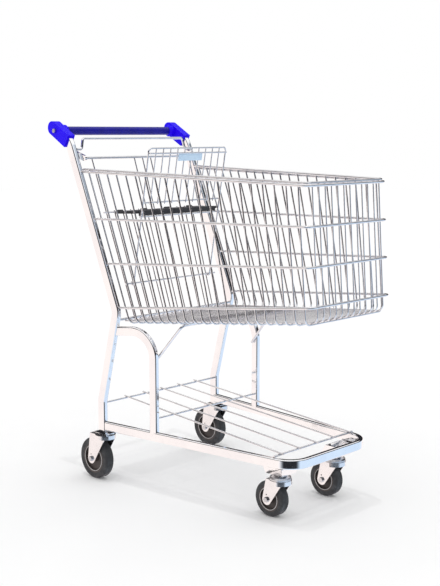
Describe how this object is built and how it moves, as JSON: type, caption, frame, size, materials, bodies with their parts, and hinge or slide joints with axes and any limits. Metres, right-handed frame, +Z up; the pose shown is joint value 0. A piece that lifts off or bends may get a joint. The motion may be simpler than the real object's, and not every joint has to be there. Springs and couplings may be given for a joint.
{
  "type": "shopping cart",
  "caption": "Wire supermarket shopping cart with tube frame, tapered basket, swinging rear gate with folding child seat, low rack and swivel casters",
  "frame": {"origin": "on the floor, under the middle of the cart's bounding box", "axes": "+X forward, away from the handle; +Y the cart's left; +Z up"},
  "size_m": [0.9725, 0.546, 1.0695],
  "materials": {
    "tube": "bright plated steel tube",
    "wire": "bright plated steel wire",
    "zinc": "zinc-plated pressed steel, slightly dull",
    "fastener": "zinc-plated bolts and pins",
    "cap": "royal blue moulded plastic, satin gloss",
    "grip": "dark blue moulded sleeve",
    "black_plastic": "black moulded plastic",
    "seat": "dark grey moulded plastic, fine grain",
    "board": "pale blue blank plate",
    "tread": "dark grey-brown rubber",
    "hub": "grey-brown moulded wheel centre"
  },
  "bodies": {
    "frame": {"upright_right": "tube", "upright_left": "tube", "base_rail": "tube", "arch_right": "tube", "arch_left": "tube", "handle_tube": "tube", "handle_grip": "grip", "handle_plugs": "black_plastic", "handle_cap_right": "cap", "handle_cap_left": "cap", "handle_bolts": "fastener", "top_cross_bar": "wire", "basket_rim": "wire", "basket_hoops": "wire", "side_wires_right": "wire", "side_wires_left": "wire", "front_wall_wires": "wire", "floor_long_wires": "wire", "floor_cross_wires": "wire", "rear_floor_bar": "wire", "basket_brace": "wire", "rack_cross_wires": "wire", "rack_long_wires": "wire", "gate_hinge_eyes": "tube", "rear_caster_plates": "tube", "front_caster_brackets": "tube", "king_pins": "fastener"},
    "gate": {"gate_top_bar": "wire", "gate_upright_wires": "wire", "gate_cross_wires": "wire"},
    "backrest": {"backrest_frame": "wire", "backrest_wires": "wire", "backrest_cross_wires": "wire", "notice_board": "board"},
    "seat": {"seat_plate": "seat"},
    "caster_rear_right": {"fork_rear_right": "zinc", "axle_rear_right": "fastener"},
    "wheel_rear_right": {"tyre_rear_right": "tread", "hub_rear_right": "hub"},
    "caster_rear_left": {"fork_rear_left": "zinc", "axle_rear_left": "fastener"},
    "wheel_rear_left": {"tyre_rear_left": "tread", "hub_rear_left": "hub"},
    "caster_front_right": {"fork_front_right": "zinc", "axle_front_right": "fastener"},
    "wheel_front_right": {"tyre_front_right": "tread", "hub_front_right": "hub"},
    "caster_front_left": {"fork_front_left": "zinc", "axle_front_left": "fastener"},
    "wheel_front_left": {"tyre_front_left": "tread", "hub_front_left": "hub"}
  },
  "joints": [
    {"name": "gate_hinge", "type": "hinge", "parent": "frame", "child": "gate", "pos_m": [-0.3425, 0, 0.961], "axis": [0, -1, 0], "range_deg": [0, 75]},
    {"name": "backrest_hinge", "type": "hinge", "parent": "gate", "child": "backrest", "pos_m": [-0.21182, 0, 0.59352], "axis": [0, -1, 0], "range_deg": [0, 12.8]},
    {"name": "seat_hinge", "type": "hinge", "parent": "gate", "child": "seat", "pos_m": [-0.28309, 0, 0.80166], "axis": [0, -1, 0], "range_deg": [0, 102.4]},
    {"name": "swivel_rear_right", "type": "hinge", "parent": "frame", "child": "caster_rear_right", "pos_m": [-0.2475, -0.242, 0.1426], "axis": [0, 0, 1], "continuous": true},
    {"name": "spin_rear_right", "type": "hinge", "parent": "caster_rear_right", "child": "wheel_rear_right", "pos_m": [-0.2885, -0.242, 0.0625], "axis": [0, 1, 0], "continuous": true},
    {"name": "swivel_rear_left", "type": "hinge", "parent": "frame", "child": "caster_rear_left", "pos_m": [-0.2475, 0.242, 0.1426], "axis": [0, 0, 1], "continuous": true},
    {"name": "spin_rear_left", "type": "hinge", "parent": "caster_rear_left", "child": "wheel_rear_left", "pos_m": [-0.2885, 0.242, 0.0625], "axis": [0, 1, 0], "continuous": true},
    {"name": "swivel_front_right", "type": "hinge", "parent": "frame", "child": "caster_front_right", "pos_m": [0.3405, -0.118, 0.109], "axis": [0, 0, 1], "continuous": true},
    {"name": "spin_front_right", "type": "hinge", "parent": "caster_front_right", "child": "wheel_front_right", "pos_m": [0.3105, -0.118, 0.05], "axis": [0, 1, 0], "continuous": true},
    {"name": "swivel_front_left", "type": "hinge", "parent": "frame", "child": "caster_front_left", "pos_m": [0.3405, 0.118, 0.109], "axis": [0, 0, 1], "continuous": true},
    {"name": "spin_front_left", "type": "hinge", "parent": "caster_front_left", "child": "wheel_front_left", "pos_m": [0.3105, 0.118, 0.05], "axis": [0, 1, 0], "continuous": true}
  ],
  "couplings": [
    {"joint": "seat_hinge", "follows": "backrest_hinge", "ratio": 8}
  ]
}
